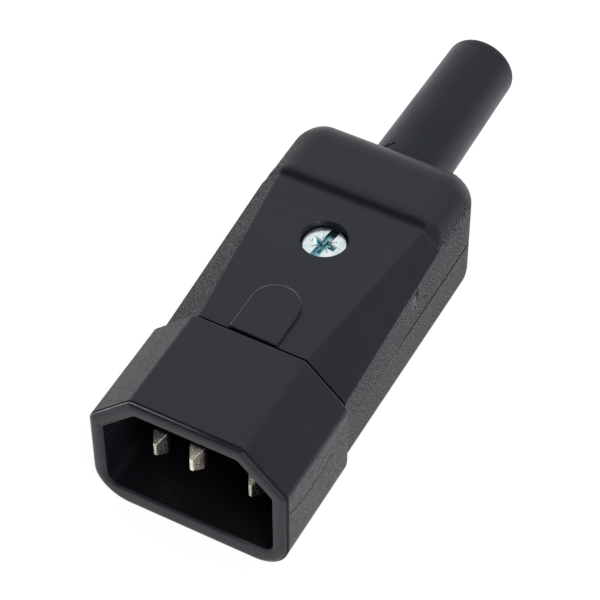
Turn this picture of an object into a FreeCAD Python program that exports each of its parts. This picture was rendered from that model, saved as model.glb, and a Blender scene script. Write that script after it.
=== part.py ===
"""Rewirable mains plug with three flat pins in a hood, a two-piece shell and a rubber cable sleeve.

Millimetres. X runs across the plug, Y from the open front of the hood to the end of the sleeve,
Z up. Depths are measured from a plane just behind the crest of the hood's front rim; the finished pieces
are then moved so that the origin lies in the middle of the footprint, on the plane the hood stands on.
"""
import FreeCAD
import Part
import math
import os

V = FreeCAD.Vector

# Clearances
slide_fit = 0.15        # hood spigot and lips in the shells
press_fit = 0.05        # pins, screws and the insert in their holes
sleeve_fit = 0.10       # rubber sleeve in the shells

# Socket cavity in the hood
cavity_width = 24.5
cavity_height = 16.2
cavity_depth = 15.9
cavity_chamfer = 4.9
cavity_round = 1.6      # corners at the cavity floor
cavity_soft = 0.8       # corners at the chamfers

# Walls of the hood around the cavity
rim_side = 2.05
rim_top = 2.2
rim_bottom = 3.2
hood_depth = 16.4
hood_chamfer = 6.2
hood_round = 5.0        # lower long edges
hood_soft = 1.2         # edges of the chamfers
hood_edge = 0.35        # rounding round the rear face
rim_crest = 0.25        # the front rim swells to a crest this far before depth zero
crest_share = 0.48      # share of the thinnest wall that each side of the crest takes
outer_fall = 0.40       # how far the rim falls back to its outer edge
inner_fall = 0.13       # and to the cavity

# Contact carrier behind the cavity
spigot_length = 3.8
groove_setback = 1.4    # from the hood's rear face to the groove round the spigot
groove_width = 1.2
groove_depth = 1.0
barrier_thickness = 1.0
barrier_offset = 3.6    # barrier walls left and right of the earth contact
barrier_height = 9.0

# Flat pins
pin_width = 2.0
pin_height = 4.0
pin_pitch = 14.0        # line to neutral
pin_level = 5.55        # line and neutral centres above the cavity floor
earth_rise = 4.0        # earth centre above the other two
pin_setback = 3.4       # line and neutral tips behind the rim
earth_setback = 0.9
pin_tip_length = 1.6
pin_tip_width = 0.42
pin_tip_height = 2.3
pin_tail = 4.4          # length inside the terminal block

# Terminal blocks and their screws
terminal_width = 5.0
terminal_length = 8.6
terminal_height = 6.0
terminal_edge = 0.35
wire_hole = 3.0
wire_hole_depth = 3.8
terminal_screw_setback = 0.1    # from the screw's head to the block's rear
terminal_screw_diameter = 2.5
terminal_screw_bite = 0.6   # how far the tip enters the wire hole

# Shells
body_step = 0.9         # the shells lie this far inside the hood's outline
wall = 2.0
shell_length = 40.4     # from the hood's rear face
seam = 0.75             # open joint between the hood's rear face and the shells
brow_length = 12.25     # raised brow of the cover, from its steepest line to the rear
brow_rise = 0.75
brow_run = 2.65         # length of the double curve that climbs to the brow
hollow_share = 0.34     # share of that curve that is hollow
facet_taper = 0.115     # chamfer lost for each millimetre towards the rear
edge_soft = 0.5
base_round = 3.7        # lower long edges of the shells
brow_leg = 2.8          # leg left of the facets along the brow
brow_soft = 4.3         # rounding of the brow's long edges
rear_round = 3.6        # how far the rear rounding comes in
rear_run = 4.4          # and how far it reaches along the plug
rear_wall = 2.7
parting_height = 10.2
parting_gap = 0.3       # the halves open by this much towards the rear
lip_width = 0.9
lip_height = 1.0
lip_setback = 1.0       # from the spigot and from the bulkhead
tongue_width = 6.9      # raised tongue on the cover, behind the hood
tongue_length = 10.0    # from the hood's rear face
tongue_rise = 0.35
tongue_edge = 0.3

# Cover screw, its boss and its threaded insert
cover_screw_diameter = 3.0
cover_screw_length = 12.0
cover_head_diameter = 6.3
cover_head_height = 2.0
cover_head_edge = 1.6   # height of the head's upright edge, below its crown
cover_head_sunk = 1.0   # top of the head below the panel
cover_head_gap = 0.1
cover_slot_angle = 84.0
cover_slot_width = 1.1
cover_slot_depth = 0.7
cross_span = 3.4        # cross recess in the middle of the slot
cross_width = 0.8
cross_depth = 1.3
boss_diameter = 8.4
boss_meeting = 11.8     # height where the cover's boss stands on the base's post
insert_diameter = 4.8
insert_length = 6.0
insert_groove_width = 0.8
insert_groove_depth = 0.3
screw_hole_gap = 0.15

# Cable, its clamp and its sleeve
cable_diameter = 7.2
cable_height = 11.0
clamp_setback = 1.6     # from the bulkhead to the clamp
clamp_width = 5.0
clamp_thickness = 1.8
clamp_head_gap = 0.15   # between the saddle's arch and its screw heads
clamp_foot_edge = 0.25  # foot beyond the screw heads
clamp_post = 5.4
clamp_screw_diameter = 2.6
clamp_screw_length = 8.0
tip_room = 0.6          # hole left below a screw's tip
cradle_rib = 1.2
cradle_spread = 2.8     # between the two cradle ribs
cradle_width = 12.0
sleeve_wall = 2.0
sleeve_end_wall = 1.55
sleeve_length = 28.8    # outside the shells
sleeve_end_round = 1.0
flange_rise = 1.0       # of the flange above the sleeve
flange_thickness = 2.1
bulkhead = 1.0

# Small screw heads
small_head_ratio = 1.8  # head to shank diameter
small_head_height = 1.7
small_slot_width = 0.7
small_slot_depth = 0.8

# Sizes worked out from the above
hood_width = cavity_width + 2 * rim_side
hood_height = rim_bottom + cavity_height + rim_top
shell_front = hood_depth + seam
shell_rear = hood_depth + shell_length
sleeve_end = shell_rear + sleeve_length
overall_length = sleeve_end + rim_crest
crest_run = crest_share * min(rim_side, rim_top, rim_bottom)
rim_edge = outer_fall - rim_crest     # depth of the rim's outer edge
spigot_end = hood_depth + spigot_length
panel_height = hood_height - body_step
body_half_width = hood_width / 2 - body_step
least_edge = 0.1
past = 1.0              # how far a cutting body runs past the faces that it cuts
same_place = 0.01       # coordinates closer than this count as equal
diagonal_inset = 2 - math.sqrt(2)     # a 45 degree chamfer's leg shrinks by this for each unit of inset
longest_soft = 0.95 / diagonal_inset  # rounding, as a share of its leg, that leaves a chamfer some face
crease_depth = shell_rear - brow_length
brow_summit = shell_rear - rear_run
shoulder_angle = 2 * math.atan(brow_rise / brow_run)
hollow_radius = hollow_share * brow_run / math.sin(shoulder_angle)
swell_radius = (1 - hollow_share) * brow_run / math.sin(shoulder_angle)
shoulder_start = crease_depth - hollow_share * brow_run
shoulder_end = shoulder_start + brow_run
inner_rear = shell_rear - rear_wall
line_height = rim_bottom + pin_level
earth_height = line_height + earth_rise
head_seat = panel_height - cover_head_sunk - cover_head_height
sleeve_diameter = cable_diameter + 2 * sleeve_wall
sleeve_end_diameter = cable_diameter + 2 * sleeve_end_wall
flange_diameter = sleeve_diameter + 2 * flange_rise
flange_rear = inner_rear - sleeve_fit
flange_front = flange_rear - flange_thickness
bulkhead_rear = flange_front - sleeve_fit
terminal_rear = spigot_end + terminal_length
terminal_head = terminal_screw_diameter * small_head_ratio
terminal_screw_depth = terminal_rear - terminal_screw_setback - terminal_head / 2
clamp_bore = cable_diameter + 2 * sleeve_fit
clamp_head = clamp_screw_diameter * small_head_ratio
clamp_pitch = clamp_bore + 2 * clamp_thickness + clamp_head + 2 * clamp_head_gap
clamp_length = clamp_pitch + clamp_head + 2 * clamp_foot_edge
clamp_depth = bulkhead_rear - bulkhead - clamp_setback - clamp_width / 2
cover_screw_depth = (terminal_rear + clamp_depth - clamp_width / 2) / 2  # midway to the clamp

# Name, sideways place, height and tip setback of each contact
contacts = [
    ("line", pin_pitch / 2, line_height, pin_setback),
    ("neutral", -pin_pitch / 2, line_height, pin_setback),
    ("earth", 0.0, earth_height, earth_setback),
]


def box(x_low, x_high, y_low, y_high, z_low, z_high):
    """Rectangular block between two corners."""
    return Part.makeBox(x_high - x_low, y_high - y_low, z_high - z_low, V(x_low, y_low, z_low))


def post(diameter, x, depth, z_low, z_high):
    """Upright cylinder."""
    return Part.makeCylinder(diameter / 2, z_high - z_low, V(x, depth, z_low))


def rod(diameter, x, z, y_low, y_high):
    """Cylinder lying along the plug."""
    return Part.makeCylinder(diameter / 2, y_high - y_low, V(x, y_low, z), V(0, 1, 0))


def fused(shapes):
    """One solid from touching shapes."""
    return shapes[0].fuse(shapes[1:]).removeSplitter()


def rounded_wire(corners, depth):
    """Closed outline at one depth from corners given as (x, z, radius)."""
    starts, middles, ends = [], [], []
    count = len(corners)
    for index, (x, z, radius) in enumerate(corners):
        here = V(x, depth, z)
        before, after = corners[index - 1], corners[(index + 1) % count]
        back = (V(before[0], depth, before[1]) - here).normalize()
        on = (V(after[0], depth, after[1]) - here).normalize()
        half_angle = back.getAngle(on) / 2
        inward = (back + on).normalize()
        starts.append(here + back * (radius / math.tan(half_angle)))
        ends.append(here + on * (radius / math.tan(half_angle)))
        middles.append(here + inward * (radius / math.sin(half_angle) - radius))
    edges = []
    for index in range(count):
        edges.append(Part.Arc(starts[index], middles[index], ends[index]).toShape())
        edges.append(Part.LineSegment(ends[index], starts[(index + 1) % count]).toShape())
    return Part.Wire(edges)


def outline(depth, half_width, bottom, top, chamfer, soft, lower_round, inset=0.0):
    """Plug outline: flat top, two softened 45 degree chamfers, upright sides, rounded lower corners."""
    half_width -= inset
    bottom += inset
    top -= inset
    chamfer = max(chamfer - diagonal_inset * inset, least_edge)
    soft = min(max(soft - inset, least_edge / 2), longest_soft * chamfer)
    lower_round = max(lower_round - inset, least_edge)
    right = [
        (half_width - chamfer, top, soft),
        (half_width, top - chamfer, soft),
        (half_width, bottom, lower_round),
    ]
    left = [(-x, z, radius) for x, z, radius in reversed(right)]
    return rounded_wire(right + left, depth)


def bar(wire, length):
    """Outline drawn out along the plug."""
    return Part.Face(wire).extrude(V(0, length, 0))


def taper(first, last):
    """Straight-sided body between two outlines."""
    return Part.makeLoft([first, last], True, True)


def hood_outline(depth, inset=0.0):
    return outline(depth, hood_width / 2, 0, hood_height, hood_chamfer, hood_soft, hood_round, inset)


def cavity_outline(depth, inset=0.0):
    return outline(depth, cavity_width / 2, rim_bottom, rim_bottom + cavity_height, cavity_chamfer,
                   cavity_soft, cavity_round, inset)


def facet_leg(depth):
    """Leg of the side facets, which run out towards the rear."""
    return hood_chamfer - diagonal_inset * body_step - facet_taper * (depth - hood_depth)


def panel_outline(depth):
    """Outline of the closed shells from the hood to the shoulder, under the flat panel."""
    return outline(depth, body_half_width, body_step, panel_height, facet_leg(depth), edge_soft, base_round)


def shoulder_outline(turn):
    """Outline on the shoulder: turn goes from 0 to 1 through its hollow and on to 2 over its swell."""
    if turn <= 1:
        angle = shoulder_angle * turn
        depth = shoulder_start + hollow_radius * math.sin(angle)
        top = panel_height + hollow_radius * (1 - math.cos(angle))
    else:
        angle = shoulder_angle * (2 - turn)
        depth = shoulder_end - swell_radius * math.sin(angle)
        top = panel_height + brow_rise - swell_radius * (1 - math.cos(angle))
    leg = facet_leg(shoulder_start) + (brow_leg - facet_leg(shoulder_start)) * turn / 2
    soft = edge_soft + (brow_soft - edge_soft) * turn / 2
    return outline(depth, body_half_width, body_step, top, leg, soft, base_round)


def brow_outline(depth, inset=0.0):
    """Outline of the closed shells behind the shoulder: level brow with well rounded edges."""
    return outline(depth, body_half_width, body_step, panel_height + brow_rise, brow_leg, brow_soft,
                   base_round, inset)


def room_outline(depth, inset=0.0):
    """Outline of the space inside the shells, under a level ceiling."""
    return outline(depth, body_half_width, body_step, panel_height, facet_leg(depth), edge_soft,
                   base_round, wall + inset)


def room(y_low, y_high, inset=0.0):
    return taper(room_outline(y_low, inset), room_outline(y_high, inset))


def pin_slot(x, z, y_low, y_high):
    """Rectangular hole for a flat pin."""
    half_width, half_height = pin_width / 2 + press_fit, pin_height / 2 + press_fit
    return box(x - half_width, x + half_width, y_low, y_high, z - half_height, z + half_height)


def crest(section, fall, inward):
    """Front rim from the outline at its edge to the crest, which lies inwards (1) or outwards (-1)."""
    angle = 2 * math.atan(fall / crest_run)
    radius = crest_run / math.sin(angle)
    sections = []
    for step in (3, 2, 1, 0):
        turn = angle * step / 3
        depth = radius * (1 - math.cos(turn)) - rim_crest
        sections.append(section(depth, inward * (crest_run - radius * math.sin(turn))))
    return Part.makeLoft(sections, True, False)


def make_hood():
    """Shroud, contact carrier and terminal barriers, moulded as one."""
    shroud = bar(hood_outline(rim_edge), hood_depth - rim_edge)
    rear = [edge for edge in shroud.Edges if edge.BoundBox.YMin > hood_depth - same_place]
    shroud = shroud.makeFillet(hood_edge, rear)
    spigot = taper(room_outline(hood_depth, slide_fit), room_outline(spigot_end, slide_fit))
    barriers = [
        box(side * barrier_offset - barrier_thickness / 2, side * barrier_offset + barrier_thickness / 2,
            spigot_end - wall, terminal_rear,
            line_height - terminal_height / 2, line_height - terminal_height / 2 + barrier_height)
        for side in (-1, 1)
    ]
    hood = fused([shroud, crest(hood_outline, outer_fall, 1), spigot] + barriers)
    groove_start = hood_depth + groove_setback
    groove_end = groove_start + groove_width
    groove = room(groove_start, groove_end, -slide_fit).cut(
        room(groove_start - past, groove_end + past, slide_fit + groove_depth))
    cavity = bar(cavity_outline(-past), past + cavity_depth)
    slots = [pin_slot(x, z, cavity_depth - past, spigot_end + past) for _, x, z, _ in contacts]
    return hood.cut([groove, cavity, crest(cavity_outline, inner_fall, -1)] + slots)


def make_pin(x, z, setback):
    """Flat contact pin with a tapered tip and a plain tail."""
    def rectangle(depth, width, height):
        corners = [V(x + i * width / 2, depth, z + k * height / 2) for i, k in
                   ((-1, -1), (1, -1), (1, 1), (-1, 1))]
        return Part.makePolygon(corners + corners[:1])

    shoulder = setback + pin_tip_length
    full = rectangle(shoulder, pin_width, pin_height)
    tip = taper(rectangle(setback, pin_tip_width, pin_tip_height), full)
    blade = bar(full, spigot_end + pin_tail - shoulder)
    return fused([tip, blade])


def make_terminal(x, z):
    """Brass block: slot for the pin's tail in front, wire hole behind, screw hole from above."""
    block = box(x - terminal_width / 2, x + terminal_width / 2, spigot_end, terminal_rear,
                z - terminal_height / 2, z + terminal_height / 2)
    block = block.makeChamfer(terminal_edge, block.Edges)
    slot = pin_slot(x, z, spigot_end - past, spigot_end + pin_tail + press_fit)
    wire = rod(wire_hole, x, z, terminal_rear - wire_hole_depth, terminal_rear + past)
    screw = post(terminal_screw_diameter + 2 * press_fit, x, terminal_screw_depth, z, z + terminal_height)
    return block.cut([slot, wire, screw])


def slotted_screw(diameter, length, x, depth, seat):
    """Small cheese-head screw hanging from its seat."""
    head_diameter = diameter * small_head_ratio
    head = post(head_diameter, x, depth, seat, seat + small_head_height)
    rim = [edge for edge in head.Edges if edge.BoundBox.ZMin > seat + small_head_height - same_place]
    head = head.makeChamfer(small_slot_width / 3, rim)
    shank = post(diameter, x, depth, seat - length, seat)
    slot = box(x - head_diameter, x + head_diameter, depth - small_slot_width / 2,
               depth + small_slot_width / 2, seat + small_head_height - small_slot_depth,
               seat + small_head_height + past)
    return fused([head, shank]).cut(slot)


def make_terminal_screw(x, z):
    reach = terminal_height / 2 - wire_hole / 2 + terminal_screw_bite
    return slotted_screw(terminal_screw_diameter, reach, x, terminal_screw_depth, z + terminal_height / 2)


def make_shell():
    """Both halves as one closed shell, before they are parted."""
    front = taper(panel_outline(shell_front), panel_outline(shoulder_start))
    shoulder = Part.makeLoft([shoulder_outline(step / 4) for step in range(9)], True, False)
    brow = taper(brow_outline(shoulder_end), brow_outline(brow_summit))
    turns = [math.radians(degrees) for degrees in (0, 20, 40, 58, 75, 90)]
    cap = Part.makeLoft([brow_outline(brow_summit + rear_run * math.sin(turn),
                                      rear_round * (1 - math.cos(turn))) for turn in turns], True, False)
    outer = fused([front, shoulder, brow, cap])
    rib_start = hood_depth + groove_setback + slide_fit
    rib_end = rib_start + groove_width - 2 * slide_fit
    rib = room(rib_start, rib_end).cut(room(rib_start - past, rib_end + past, groove_depth))
    partition = room(bulkhead_rear - bulkhead, bulkhead_rear)
    hollow = outer.cut(room(hood_depth - past, inner_rear))
    neck = rod(sleeve_diameter + 2 * sleeve_fit, 0, cable_height, flange_rear, shell_rear + past)
    passage = rod(cable_diameter + 4 * sleeve_fit, 0, cable_height, bulkhead_rear - 2 * bulkhead, inner_rear)
    return hollow.fuse([rib, partition]).cut([neck, passage])


def lower_space(rear_rise):
    """Everything under the parting plane, which may rise a little towards the rear."""
    reach = 2 * body_half_width
    slope = rear_rise / shell_length
    y_low, y_high = hood_depth - past, shell_rear + past
    corners = [V(-reach, y_low, parting_height - slope * past),
               V(-reach, y_high, parting_height + rear_rise + slope * past),
               V(-reach, y_high, -reach), V(-reach, y_low, -reach)]
    return Part.Face(Part.makePolygon(corners + corners[:1])).extrude(V(2 * reach, 0, 0))


def lip(gap):
    """Strip along the inside of both walls that keeps the halves in line."""
    y_low, y_high = spigot_end + lip_setback - gap, bulkhead_rear - bulkhead - lip_setback + gap
    strip = room(y_low, y_high, -lip_width - gap).cut(room(y_low - past, y_high + past))
    reach = 2 * body_half_width
    return strip.common(box(-reach, reach, y_low, y_high, parting_height, parting_height + lip_height + gap))


def make_base(shell):
    """Lower half with the insert post, the cable cradle and the clamp posts."""
    floor = body_step + wall / 2
    clamp_screw_hole = clamp_screw_diameter + 2 * press_fit
    additions = [lip(0), post(boss_diameter, 0, cover_screw_depth, floor, boss_meeting)]
    for side in (-1, 1):
        rib_depth = clamp_depth + side * cradle_spread / 2
        additions.append(box(-cradle_width / 2, cradle_width / 2, rib_depth - cradle_rib / 2,
                             rib_depth + cradle_rib / 2, floor, parting_height))
        additions.append(post(clamp_post, side * clamp_pitch / 2, clamp_depth, floor, parting_height))
    holes = [
        rod(clamp_bore, 0, cable_height, clamp_depth - clamp_width, clamp_depth + clamp_width),
        post(insert_diameter + 2 * press_fit, 0, cover_screw_depth, boss_meeting - insert_length,
             boss_meeting + past),
        post(cover_screw_diameter + 2 * screw_hole_gap, 0, cover_screw_depth,
             head_seat - cover_screw_length - tip_room, boss_meeting),
    ]
    holes += [post(clamp_screw_hole, side * clamp_pitch / 2, clamp_depth,
                   parting_height + clamp_thickness - clamp_screw_length - tip_room, parting_height + past)
              for side in (-1, 1)]
    return shell.common(lower_space(0)).fuse(additions).cut(holes).removeSplitter()


def make_cover(shell):
    """Upper half with the screw boss, the raised tongue and the brow."""
    boss = post(boss_diameter, 0, cover_screw_depth, boss_meeting, panel_height - wall / 2)
    end_radius = tongue_width / 2
    arc_depth = hood_depth + tongue_length - end_radius
    tongue_foot, tongue_top = panel_height - wall / 2, panel_height + tongue_rise
    tongue = fused([box(-end_radius, end_radius, shell_front, arc_depth, tongue_foot, tongue_top),
                    post(tongue_width, 0, arc_depth, tongue_foot, tongue_top)])
    upper_edges = [edge for edge in tongue.Edges if edge.BoundBox.ZMin > tongue_top - same_place]
    tongue = tongue.makeFillet(tongue_edge, upper_edges)
    head_hole = post(cover_head_diameter + 2 * cover_head_gap, 0, cover_screw_depth, head_seat,
                     panel_height + past)
    shank_hole = post(cover_screw_diameter + 2 * screw_hole_gap, 0, cover_screw_depth,
                      boss_meeting - past, head_seat + past)
    upper = shell.cut(lower_space(parting_gap)).fuse([boss, tongue])
    return upper.cut([lip(slide_fit), head_hole, shank_hole]).removeSplitter()


def make_cover_screw():
    """Pan-head machine screw with a slot laid over a cross recess."""
    radius, top, edge = cover_head_diameter / 2, cover_head_height, cover_head_edge
    flat = radius - (top - edge)
    half_way = (top - edge) * math.sqrt(0.5)
    middle = V(flat + half_way, 0, edge + half_way)
    rounding = Part.Arc(V(radius, 0, edge), middle, V(flat, 0, top)).toShape()
    corners = [V(flat, 0, top), V(0, 0, top), V(0, 0, 0), V(radius, 0, 0), V(radius, 0, edge)]
    lines = [Part.LineSegment(a, b).toShape() for a, b in zip(corners, corners[1:])]
    head = Part.Face(Part.Wire(lines + [rounding])).revolve(V(0, 0, 0), V(0, 0, 1), 360)
    recesses = [
        box(-length / 2, length / 2, -width / 2, width / 2, top - depth, top + past)
        for length, width, depth in (
            (2 * cover_head_diameter, cover_slot_width, cover_slot_depth),
            (cross_span, cross_width, cross_depth),
            (cross_width, cross_span, cross_depth),
        )
    ]
    head = head.cut(recesses)
    head.rotate(V(0, 0, 0), V(0, 0, 1), cover_slot_angle)
    head.translate(V(0, cover_screw_depth, head_seat))
    shank = post(cover_screw_diameter, 0, cover_screw_depth, head_seat - cover_screw_length, head_seat)
    return fused([head, shank])


def make_insert():
    """Threaded brass insert with two grooves round it, pressed into the base's post."""
    bottom = boss_meeting - insert_length
    body = post(insert_diameter, 0, cover_screw_depth, bottom, boss_meeting)
    bore = post(cover_screw_diameter + 2 * press_fit, 0, cover_screw_depth, bottom - past,
                boss_meeting + past)
    core = insert_diameter - 2 * insert_groove_depth
    grooves = []
    for share in (1 / 3, 2 / 3):
        low = bottom + insert_length * share - insert_groove_width / 2
        high = low + insert_groove_width
        ring = post(insert_diameter + past, 0, cover_screw_depth, low, high)
        grooves.append(ring.cut(post(core, 0, cover_screw_depth, low, high)))
    return body.cut([bore] + grooves)


def make_clamp():
    """Saddle over the cable with a flat foot on each post."""
    y_low, y_high = clamp_depth - clamp_width / 2, clamp_depth + clamp_width / 2
    foot_top = parting_height + clamp_thickness
    strap = box(-clamp_length / 2, clamp_length / 2, y_low, y_high, parting_height, foot_top)
    arch = rod(clamp_bore + 2 * clamp_thickness, 0, cable_height, y_low, y_high)
    below = box(-clamp_length, clamp_length, y_low - past, y_high + past, -clamp_length, parting_height)
    bore = rod(clamp_bore, 0, cable_height, y_low - past, y_high + past)
    holes = [post(clamp_screw_diameter + 2 * screw_hole_gap, side * clamp_pitch / 2, clamp_depth,
                  parting_height - past, foot_top + past) for side in (-1, 1)]
    clamp = fused([strap, arch]).cut([below, bore] + holes)
    corners = [edge for edge in clamp.Edges
               if abs(abs(edge.CenterOfMass.x) - clamp_length / 2) < same_place
               and edge.BoundBox.ZLength > clamp_thickness / 2]
    return clamp.makeFillet(clamp_thickness / 2, corners)


def make_clamp_screw(side):
    return slotted_screw(clamp_screw_diameter, clamp_screw_length, side * clamp_pitch / 2, clamp_depth,
                         parting_height + clamp_thickness)


def make_sleeve():
    """Rubber bend protector: a flange inside the shells and a tapering tube outside them."""
    def at(depth, diameter):
        return V(0, depth, cable_height + diameter / 2)

    corner = sleeve_end - sleeve_end_round
    lean = sleeve_end_round * (1 - math.sqrt(0.5))
    points = [at(flange_front, cable_diameter), at(flange_front, flange_diameter),
              at(flange_rear, flange_diameter), at(flange_rear, sleeve_diameter),
              at(shell_rear, sleeve_diameter), at(corner, sleeve_end_diameter)]
    middle = at(sleeve_end - lean, sleeve_end_diameter - 2 * lean)
    end = [at(sleeve_end, sleeve_end_diameter - 2 * sleeve_end_round),
           at(sleeve_end, cable_diameter), points[0]]
    lines = [Part.LineSegment(a, b).toShape() for a, b in zip(points, points[1:])]
    lines.append(Part.Arc(points[-1], middle, end[0]).toShape())
    lines += [Part.LineSegment(a, b).toShape() for a, b in zip(end, end[1:])]
    return Part.Face(Part.Wire(lines)).revolve(V(0, 0, cable_height), V(0, 1, 0), 360)


def make_parts():
    shell = make_shell()
    parts = {
        "front_hood": make_hood(),
        "upper_cover": make_cover(shell),
        "lower_base": make_base(shell),
        "cover_screw": make_cover_screw(),
        "cover_screw_insert": make_insert(),
        "cord_clamp": make_clamp(),
        "left_clamp_screw": make_clamp_screw(-1),
        "right_clamp_screw": make_clamp_screw(1),
        "cable_sleeve": make_sleeve(),
    }
    for name, x, z, setback in contacts:
        parts[name + "_pin"] = make_pin(x, z, setback)
        parts[name + "_terminal"] = make_terminal(x, z)
        parts[name + "_terminal_screw"] = make_terminal_screw(x, z)
    return parts


os.makedirs("parts", exist_ok=True)
for name, shape in make_parts().items():
    shape.translate(V(0, rim_crest - overall_length / 2, 0))
    shape.exportStep(f"parts/{name}.step")
    box_size = shape.optimalBoundingBox(False)
    print(f"{name}: {len(shape.Solids)} solid, valid {shape.isValid()}, "
          f"{box_size.XLength:.2f} x {box_size.YLength:.2f} x {box_size.ZLength:.2f}")
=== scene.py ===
# %% [markdown]
# # A rewirable mains plug
#
# The plug lies on its underside: a chamfered hood round three flat pins, a closed body of two shells
# under one screw, and a rubber sleeve for the cable. Its eighteen solids come ready to size, in metres,
# in one frame: X to the right, Y from the open hood to the sleeve, Z up. This lesson gives them their
# surfaces. A solid whose shape is right keeps its mesh and gets a material. Screws and pins get new
# meshes, because threads, driver recesses and broken edges are too fine for the solids.

# %% Load the solids
import math

import bmesh
import bpy
from mathutils import Matrix, Vector


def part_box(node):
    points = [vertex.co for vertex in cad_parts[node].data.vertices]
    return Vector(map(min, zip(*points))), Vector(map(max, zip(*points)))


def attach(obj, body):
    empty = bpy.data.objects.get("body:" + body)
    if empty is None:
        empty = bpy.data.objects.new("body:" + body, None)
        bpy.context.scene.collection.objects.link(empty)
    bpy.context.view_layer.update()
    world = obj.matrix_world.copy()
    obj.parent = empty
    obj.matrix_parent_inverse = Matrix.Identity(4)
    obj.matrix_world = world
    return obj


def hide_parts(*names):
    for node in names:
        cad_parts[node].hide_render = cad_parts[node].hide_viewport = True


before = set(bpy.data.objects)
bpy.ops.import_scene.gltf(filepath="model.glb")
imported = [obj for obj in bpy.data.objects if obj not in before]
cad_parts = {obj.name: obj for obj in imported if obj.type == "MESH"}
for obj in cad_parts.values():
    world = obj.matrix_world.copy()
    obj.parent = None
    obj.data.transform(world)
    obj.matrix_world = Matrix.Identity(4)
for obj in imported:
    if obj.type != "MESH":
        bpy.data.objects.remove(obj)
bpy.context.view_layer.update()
MM = 0.001

# %% [markdown]
# ## Camera
#
# The view is from the right, high above the open front, through a long lens. A camera can be turned by
# Euler angles or by a Track To constraint. Here its matrix is put together from three directions, right,
# up and back, because that also takes the small roll of a camera that wasn't quite level.

# %% Camera
camera_place = Vector((104.9, -204.475, 265.2)) * MM
camera_target = Vector((-2.09, -9.145, 10.3)) * MM
camera_roll = math.radians(-0.34)
focal_share = 2519 / 600        # focal length over the width of the image

sight = camera_place - camera_target
back = sight.normalized()
right = Vector((0, 0, 1)).cross(back).normalized()
up = back.cross(right)
rolled_right = right * math.cos(camera_roll) + up * math.sin(camera_roll)
rolled_up = back.cross(rolled_right)

lens = bpy.data.cameras.new("camera")
lens.sensor_width = 36
lens.lens = lens.sensor_width * focal_share
lens.clip_start = 0.01
camera = bpy.data.objects.new("camera", lens)
turn = Matrix((rolled_right, rolled_up, back)).transposed()
camera.matrix_world = Matrix.Translation(camera_place) @ turn.to_4x4()
bpy.context.collection.objects.link(camera)
bpy.context.scene.camera = camera

print("camera:", round(sight.length / MM), "mm away, lens", round(lens.lens, 1), "mm")

# %% [markdown]
# ## Three small helpers
#
# Colours are written as the hex values that a paint chart gives, which are sRGB. Shaders work in linear
# light, so one function converts them. Every material is a node tree. One function starts an empty one,
# and one adds a node, sets its properties, fills its sockets with a value or with what feeds it and hands
# back the output that the next node takes. It also builds the Geometry Nodes trees further down.

# %% Helpers for colours and nodes
def linear(hex_colour):
    """Linear RGBA of an sRGB hex colour."""
    parts = [int(hex_colour[i:i + 2], 16) / 255 for i in (1, 3, 5)]
    return [p / 12.92 if p <= 0.04045 else ((p + 0.055) / 1.055) ** 2.4 for p in parts] + [1.0]


def add(tree, kind, sockets=None, out=0, **settings):
    """New node with its properties and inputs set or linked; gives one of its outputs, or all for None."""
    made = tree.nodes.new(kind)
    for name, value in settings.items():
        setattr(made, name, value)
    for name, value in (sockets or {}).items():
        if isinstance(value, bpy.types.NodeSocket):
            tree.links.new(value, made.inputs[name])
        else:
            made.inputs[name].default_value = value
    return made.outputs[out] if made.outputs and out is not None else made.outputs


def new_material(name):
    """Empty node material."""
    material = bpy.data.materials.new(name)
    material.use_nodes = True
    material.node_tree.nodes.clear()
    return material


print("black plastic in linear light:", [round(v, 4) for v in linear("#131419")])

# %% [markdown]
# ## Paper floor
#
# The plug lies on white paper. A plain white diffuse floor goes grey wherever less light falls on it, so
# for the eye and for reflections the paper also glows a little: it stays white, and it still takes the
# plug's shadow. For the light that it throws back on the plug it is ordinary lit paper.

# %% Paper floor
def seen_directly(tree):
    """1 for rays of the camera, of reflections and of refraction, which see the white of the paper."""
    path = add(tree, "ShaderNodeLightPath", out=None)
    either = add(tree, "ShaderNodeMath", {0: path["Is Camera Ray"], 1: path["Is Glossy Ray"]},
                 operation="MAXIMUM")
    return add(tree, "ShaderNodeMath", {0: either, 1: path["Is Transmission Ray"]}, operation="MAXIMUM")


# Matt white that stays white where less light falls on it
paper = new_material("matt_white_paper")
tree = paper.node_tree
lit = add(tree, "ShaderNodeBsdfDiffuse", {"Color": linear("#f4f4f4")})
dim = add(tree, "ShaderNodeBsdfDiffuse", {"Color": linear("#989898")})
glow = add(tree, "ShaderNodeEmission", {"Strength": 0.87})
white = add(tree, "ShaderNodeAddShader", {0: dim, 1: glow})
shown = add(tree, "ShaderNodeMixShader", {"Fac": seen_directly(tree), 1: lit, 2: white})
add(tree, "ShaderNodeOutputMaterial", {"Surface": shown})

floor_half = 6.0
sheet = bpy.data.meshes.new("paper")
sheet.from_pydata([(-floor_half, -floor_half, 0), (floor_half, -floor_half, 0),
                   (floor_half, floor_half, 0), (-floor_half, floor_half, 0)], [], [(0, 1, 2, 3)])
sheet.materials.append(paper)
floor = bpy.data.objects.new("paper", sheet)
bpy.context.collection.objects.link(floor)
print("paper:", 2 * floor_half, "m square")

# %% [markdown]
# ## Room and soft boxes
#
# Satin black plastic shows little colour of its own: what the eye reads on it are wide, dim reflections.
# The paper gives the sides their lighter grey, and a broad soft box beyond the far end gives the top its
# sheen. Two smaller ones, at the right and above the open front, give the metal its sparkle. The rest of
# the room above stays dim, so that surfaces that tilt towards the viewer go dark. Low down all round it
# is white like the paper, as in a studio with a white sweep.

# %% Room and soft boxes
room_level = 0.08
white_below, dim_above = math.radians(4), math.radians(18)

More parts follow.
